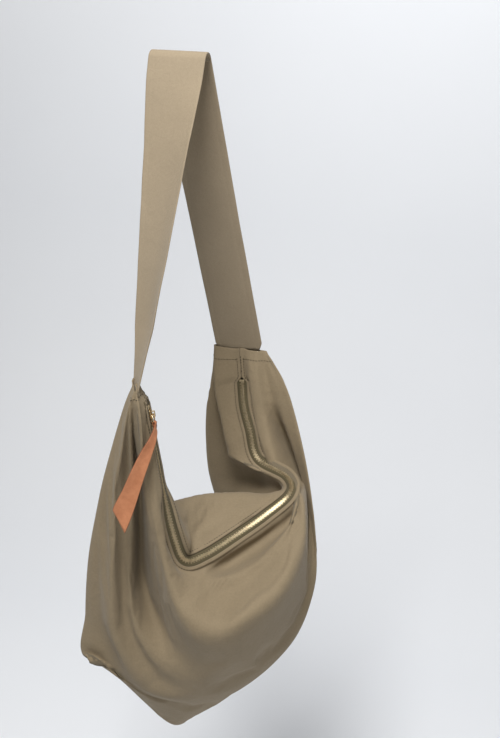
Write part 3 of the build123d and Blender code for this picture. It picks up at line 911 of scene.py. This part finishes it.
def leather_pull():
    """Flat strip through the listed middles, with dyed, rounded edges."""
    root = RING_BOTTOM + TRAVEL * STRIP_DROP
    middles = [root, *[np.array(middle, float) for middle, _, _ in STRIP], STRIP_END]
    widths = [STRIP_ROOT_WIDTH, *[width for _, width, _ in STRIP], STRIP_END_WIDTH]
    looks = [NEAR_OUT, *[face for _, _, face in STRIP], NEAR_SIDE]
    knots = run_length(np.array(middles))
    at = np.linspace(0, knots[-1], 49)
    centre = spline(knots, middles, at)
    width = spline(knots, widths, at)
    look = unit(spline(knots, looks, at))
    heading = unit(np.gradient(centre, axis=0))
    across = unit(np.cross(look, heading))
    slant_from = knots[-2] * SLANT_START
    slant = np.clip((at - slant_from) / (knots[-1] - slant_from), 0, 1)[:, None]
    sign = np.sign(across[-1] @ STRIP_END_EDGE)
    across = unit(across * (1 - slant) + STRIP_END_EDGE * sign * slant)
    out = unit(np.cross(heading, across))
    out = out * np.sign(np.sum(out * look, axis=1, keepdims=True))
    steps, round_off = np.array(STRIP_SECTION).T
    cup = CUP * (steps**2 - 0.4)
    loops = []
    for k in range(len(at)):
        half = width[k] / 2
        bow = cup * min(1, at[k] / CUP_RAMP)
        upper = np.stack([steps * half, bow + round_off * LEATHER_THICK / 2], 1)
        lower = np.stack([steps * half, bow - round_off * LEATHER_THICK / 2], 1)
        loops.append(np.concatenate([upper, lower[::-1]]))
    materials = [leather, leather_edge]
    obj = sweep("leather_pull_strip", centre * MM, across, out, np.array(loops) * MM, materials)
    size = 2 * len(steps)
    edge_columns = {0, len(steps) - 2, len(steps) - 1, len(steps), size - 2, size - 1}
    index = [int(face % size in edge_columns) for face in range(len(obj.data.polygons) - 2)]
    obj.data.polygons.foreach_set("material_index", [*index, 1, 1])
    return obj


LOOP_HALF_WIDTH, LOOP_HALF_THICK = 2.6, 0.75
LOOP_SECTION = [(x * (LOOP_HALF_WIDTH - cut), y * LOOP_HALF_THICK) for x, cut, y in (
    (-1, 0, -0.5), (-1, 0.4, -1), (1, 0.4, -1), (1, 0, -0.5),
    (1, 0, 0.5), (1, 0.4, 1), (-1, 0.4, 1), (-1, 0, 0.5),
)]
LOOP_UP, LOOP_DOWN, LOOP_OUT = 2.1, 2.9, 2.1  # half sizes of the loop round the ring's wire


def leather_loop():
    """Narrow end of the strip, wrapped round the ring's wire."""
    middle = RING_BOTTOM + TRAVEL * LOOP_DROP
    centres = []
    for angle in np.radians(np.linspace(0, 360, 33)[:-1]):
        reach = LOOP_DOWN if math.cos(angle) > 0 else LOOP_UP
        centres.append(
            middle + TRAVEL * reach * math.cos(angle) + NEAR_OUT * LOOP_OUT * math.sin(angle)
        )
    centres = np.array(centres)
    following = np.roll(centres, -1, axis=0) - np.roll(centres, 1, axis=0)
    side = np.repeat(NEAR_SIDE[None], len(centres), axis=0)
    out = unit(np.cross(following, side))
    across, lift = np.array(LOOP_SECTION).T[:, None, :, None]
    points = centres[:, None] + side[:, None] * across + out[:, None] * lift
    rows, columns = points.shape[:2]
    faces = [
        tuple(corner % (rows * columns) for corner in face)
        for face in grid_faces(rows + 1, columns, wrap=True)
    ]
    return add_object("leather_loop", points * MM, faces, [leather])


BINDING_TURNS, BINDING_PITCH = 2.2, 1.5
BINDING_HALF_WIDTH, BINDING_HALF_DEPTH = 3.5, 2.1


def leather_binding():
    """Thong wound twice round the strip just under the ring."""
    turns = np.linspace(0, BINDING_TURNS, 60)
    angle = turns * 2 * math.pi
    centre = RING_BOTTOM + TRAVEL * BINDING_DROP
    points = (
        centre
        + np.cos(angle)[:, None] * NEAR_SIDE * BINDING_HALF_WIDTH
        + np.sin(angle)[:, None] * NEAR_OUT * BINDING_HALF_DEPTH
        + (turns[:, None] - BINDING_TURNS / 2) * TRAVEL * BINDING_PITCH
    )
    heading = unit(np.gradient(points, axis=0))
    away = unit(points - centre - TRAVEL * ((points - centre) @ TRAVEL)[:, None])
    side = np.cross(heading, away)
    profile = [(0.75 * math.cos(a), 0.6 * math.sin(a)) for a in np.arange(8) * math.pi / 4]
    section = np.array(profile) * MM
    return sweep("leather_binding", points * MM, side, away, section, [leather_edge])


pull = leather_pull()
pull_loop = leather_loop()
pull_binding = leather_binding()

# ---- CAD pieces that stay ----
KEPT = {
    "slider_body": gold, "slider_bridge": gold, "pull_ring": gold,
    "top_stop_front": brass, "top_stop_rear": brass,
}
for node_name, metal in KEPT.items():
    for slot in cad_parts[node_name].material_slots:
        slot.material = metal

# ---- Bodies, replaced nodes and finishes; the finishes are only listed, not used ----
PIECES = [
    (panel_front, "bag", "shell_fabric", ["panel_front"]),
    (panel_rear, "bag", "shell_fabric", ["panel_rear"]),
    (lining_front, "bag", "lining_fabric", ["lining_front"]),
    (lining_rear, "bag", "lining_fabric", ["lining_rear"]),
    (strap, "bag", "shell_fabric", ["shoulder_strap"]),
    (tapes[0], "bag", "zipper_tape", ["zipper_tape_front"]),
    (tapes[1], "bag", "zipper_tape", ["zipper_tape_rear"]),
    (chain_front, "bag", "brass_teeth", ["zipper_teeth_front"]),
    (chain_rear, "bag", "brass_teeth", ["zipper_teeth_rear"]),
    (bottom_stop, "bag", "brass_teeth", ["bottom_stop"]),
    *[(row, "bag", "shell_fabric", []) for row in stitches],
    (pull, "leather_pull", "tan_leather", ["leather_pull"]),
    (pull_loop, "leather_pull", "tan_leather", []),
    (pull_binding, "leather_pull", "tan_leather", []),
]
for piece, body, finish, nodes in PIECES:
    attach(piece, body)
    if nodes:
        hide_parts(*nodes)


# ---- Camera, light and floor ----
def aim(obj, target):
    """Turn a light or camera towards a point."""
    obj.rotation_euler = (Vector(target) - obj.location).to_track_quat("-Z", "Y").to_euler()


def area_light(name, place, target, size, power, colour=(1, 1, 1)):
    """Soft square light."""
    data = bpy.data.lights.new(name, "AREA")
    data.size = size
    data.energy = power
    data.color = colour
    obj = bpy.data.objects.new(name, data)
    obj.location = place
    aim(obj, target)
    bpy.context.scene.collection.objects.link(obj)


CAMERA_PLACE = (0.408, -1.119, 0.038)
CAMERA_TURN, CAMERA_PITCH, CAMERA_ROLL = [math.radians(angle) for angle in (15, 20.5, 2.5)]
camera_data = bpy.data.cameras.new("camera")
camera_data.lens = 43.9
camera_data.sensor_width = 36
camera = bpy.data.objects.new("camera", camera_data)
camera.matrix_world = (
    Matrix.Translation(CAMERA_PLACE)
    @ Matrix.Rotation(CAMERA_TURN, 4, "Z")
    @ Matrix.Rotation(math.pi / 2 - CAMERA_PITCH, 4, "X")
    @ Matrix.Rotation(CAMERA_ROLL, 4, "Z")
)
bpy.context.scene.collection.objects.link(camera)
bpy.context.scene.camera = camera

bag_middle = (0.06, 0, -0.65)
area_light("key", (0.05, -1.35, 1.95), bag_middle, 1.0, 92, (1, 0.985, 0.96))
area_light("right", (2.0, -0.9, 0.3), bag_middle, 1.2, 6, (1, 0.98, 0.94))
area_light("backdrop", (0.1, 0.75, 0.95), (0.1, 1.7, 0.5), 0.8, 4.5, (0.97, 0.98, 1))

world = bpy.data.worlds.new("studio")
world.use_nodes = True
world.node_tree.nodes["Background"].inputs["Color"].default_value = (1, 0.965, 0.91, 1)
world.node_tree.nodes["Background"].inputs["Strength"].default_value = 0.22
bpy.context.scene.world = world
bpy.context.scene.view_settings.view_transform = "Standard"


def studio_floor():
    """Pale floor that rises behind the bag in one smooth curve, and is clear from behind."""
    half_width, front, back, level, bend, top = 9.0, -3.0, 1.7, -1.45, 0.9, 2.6
    start = back - bend
    profile = [(front, level), (start, level)]
    for angle in np.radians(np.linspace(0, 90, 13)[1:]):
        profile.append((start + bend * math.sin(angle), level + bend - bend * math.cos(angle)))
    profile.append((back, top))
    grid = np.array([[(x, y, z) for x in (-half_width, half_width)] for y, z in profile])
    pale, tree, shader = new_material("pale_floor", Roughness=0.9)
    place = node(tree, "ShaderNodeTexCoord")
    cloud = node(tree, "ShaderNodeTexNoise", Scale=1.2, Detail=2.0)
    ramp = node(tree, "ShaderNodeValToRGB")
    ramp.color_ramp.elements[0].color = (0.79, 0.815, 0.86, 1)
    ramp.color_ramp.elements[1].color = (0.85, 0.875, 0.915, 1)
    link(tree, (place, "Object"), (cloud, "Vector"), (cloud, "Fac"), (ramp, "Fac"))
    link(tree, (ramp, "Color"), (shader, "Base Color"))
    facing = node(tree, "ShaderNodeNewGeometry")
    clear = node(tree, "ShaderNodeBsdfTransparent")
    either = node(tree, "ShaderNodeMixShader")
    surface = tree.nodes["Material Output"]
    link(tree, (facing, "Backfacing"), (either, "Fac"), (shader, "BSDF"), (either, 1))
    link(tree, (clear, "BSDF"), (either, 2), (either, "Shader"), (surface, "Surface"))
    floor = add_object("floor", grid, grid_faces(*grid.shape[:2]), [pale])


studio_floor()
